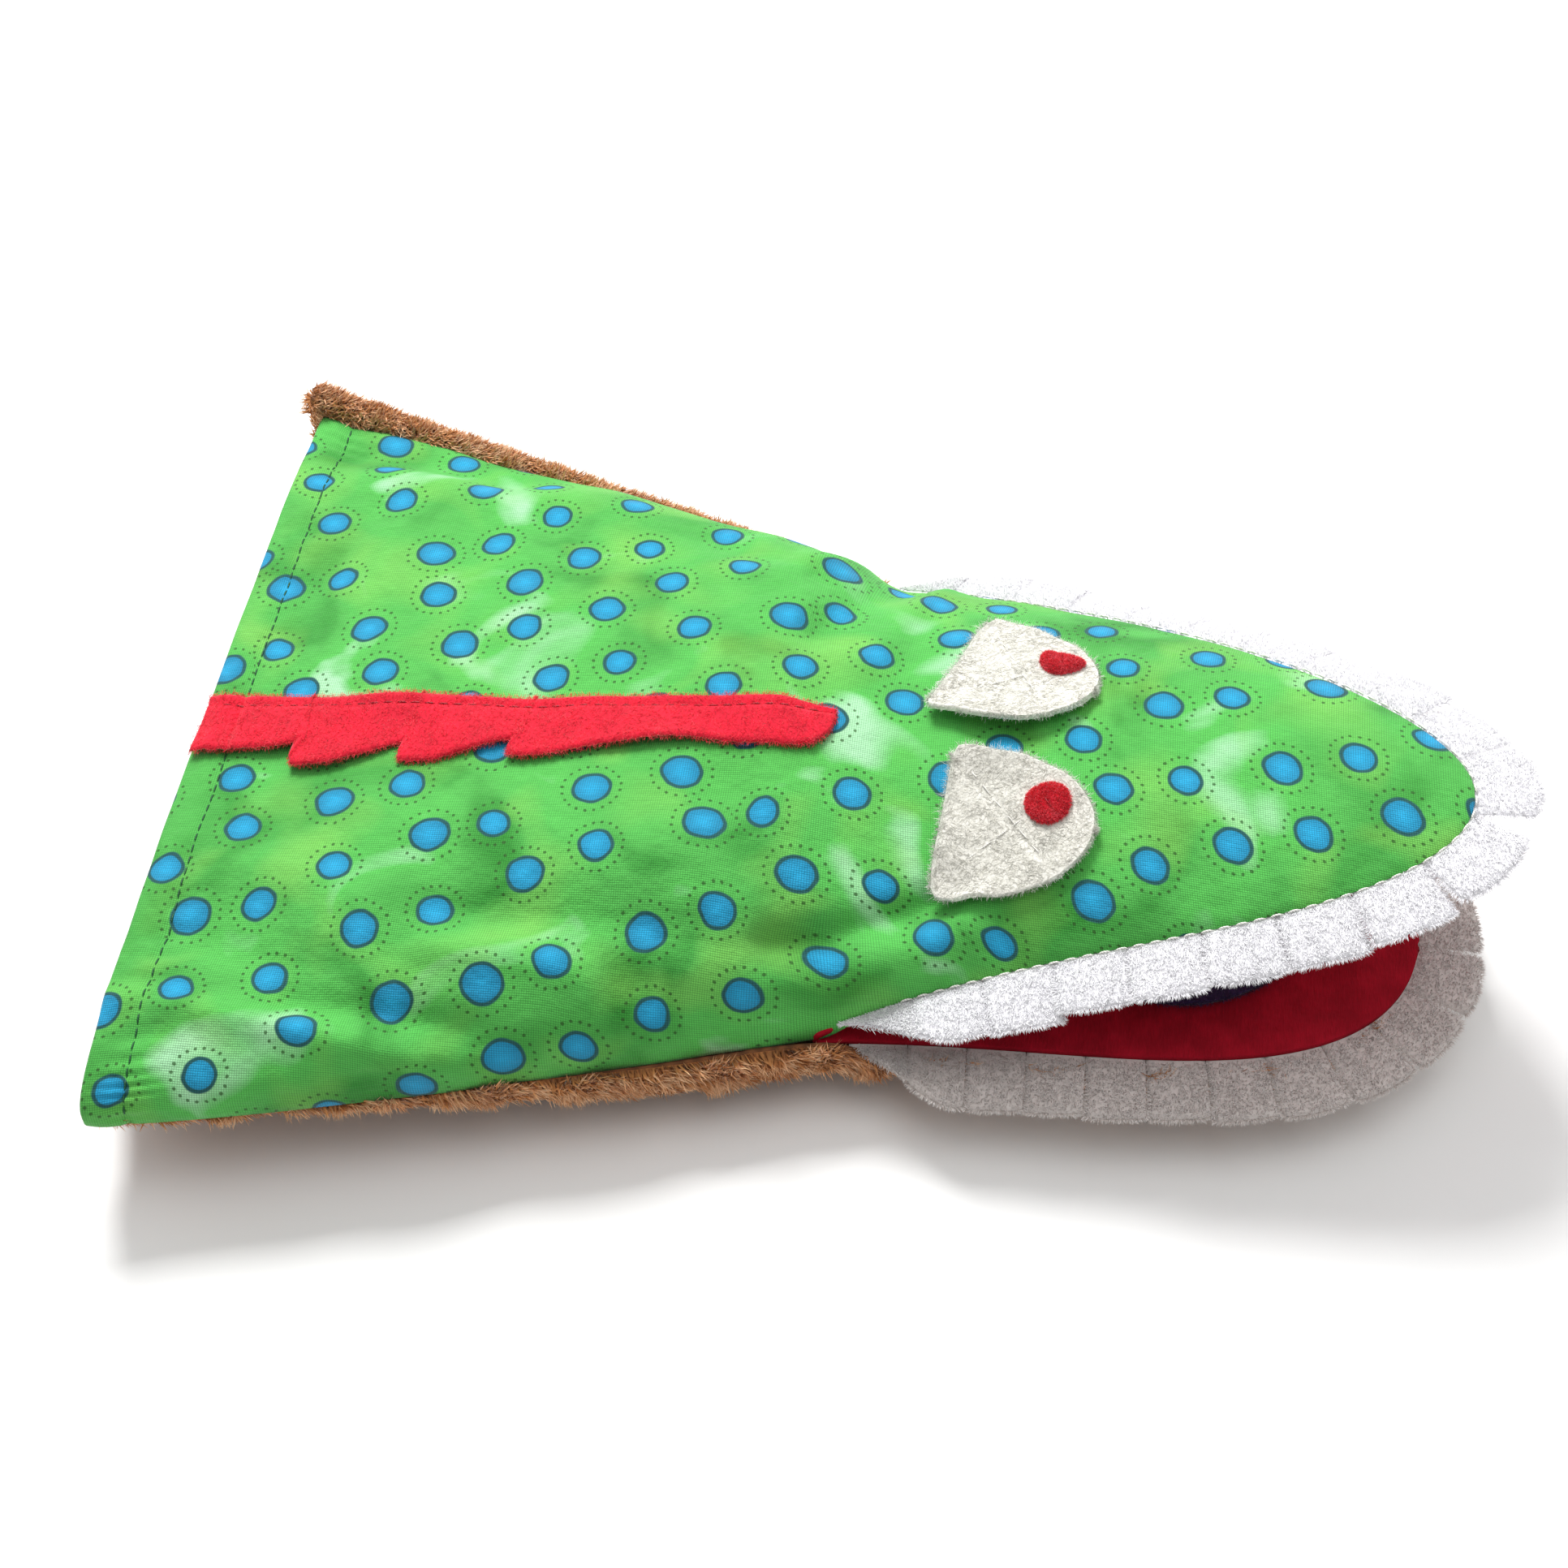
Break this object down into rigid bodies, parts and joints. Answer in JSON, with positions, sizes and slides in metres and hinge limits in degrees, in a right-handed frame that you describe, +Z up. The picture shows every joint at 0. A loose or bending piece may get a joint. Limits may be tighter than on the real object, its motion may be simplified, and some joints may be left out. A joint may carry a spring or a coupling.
{
  "type": "moving mouth puppet",
  "caption": "Cloth hand puppet with a printed cotton back, a fur belly, two hinged jaws with fringed teeth, felt eyes, a felt tongue and a toothed felt crest.",
  "frame": {"origin": "under the middle of the puppet's outline, on the surface that it lies on", "axes": "+X from the wrist to the snout, +Y to the puppet's left side, +Z up"},
  "size_m": [0.2498, 0.189, 0.0575],
  "materials": {
    "printed_cotton": "matte",
    "brown_fur": "matte",
    "fur_backing": "matte",
    "green_thread": "matte",
    "brown_thread": "matte",
    "red_felt": "matte",
    "red_thread": "matte",
    "grey_card": "matte",
    "white_pile": "matte",
    "white_thread": "matte",
    "white_felt": "matte",
    "purple_felt": "matte",
    "purple_thread": "matte"
  },
  "bodies": {
    "sleeve": {"back_panel": "printed_cotton", "back_hem": "printed_cotton", "back_hem_stitches": "green_thread", "belly_panel": "brown_fur", "belly_hem": "fur_backing", "belly_hem_stitches": "brown_thread", "side_seam_left": "fur_backing", "side_seam_right": "fur_backing", "mouth_fold": "red_felt", "neck_fold_top": "printed_cotton", "neck_fold_bottom": "brown_fur", "crest_margin": "red_felt", "crest_stitches": "red_thread"},
    "crest": {"crest_flap": "red_felt"},
    "upper_jaw": {"head_panel": "printed_cotton", "palate_lining": "red_felt", "upper_board": "grey_card", "upper_teeth": "white_pile", "upper_mouth_seam": "white_thread", "eye_left": "white_felt", "eye_right": "white_felt", "eye_stitches_left": "white_thread", "eye_stitches_right": "white_thread", "pupil_left": "red_felt", "pupil_right": "red_felt", "pupil_stitch_left": "red_thread", "pupil_stitch_right": "red_thread"},
    "lower_jaw": {"chin_panel": "brown_fur", "floor_lining": "red_felt", "lower_board": "grey_card", "lower_teeth": "white_pile", "lower_mouth_seam": "white_thread", "tongue_stitches": "purple_thread", "tongue": "purple_felt"}
  },
  "joints": [
    {"name": "upper_jaw_lift", "type": "hinge", "parent": "sleeve", "child": "upper_jaw", "pos_m": [0.00274, 0, 0.016], "axis": [0, -1, 0], "range_deg": [-12, 32], "deforming": ["neck_fold_top"]},
    {"name": "lower_jaw_drop", "type": "hinge", "parent": "sleeve", "child": "lower_jaw", "pos_m": [0.00274, 0, 0.016], "axis": [0, 1, 0], "range_deg": [-4.5, 30], "deforming": ["neck_fold_bottom"]},
    {"name": "crest_fold", "type": "hinge", "parent": "sleeve", "child": "crest", "pos_m": [-0.12338, -0.003, 0.03619], "axis": [-0.9959, 0, -0.0909], "range_deg": [0, 120]}
  ]
}
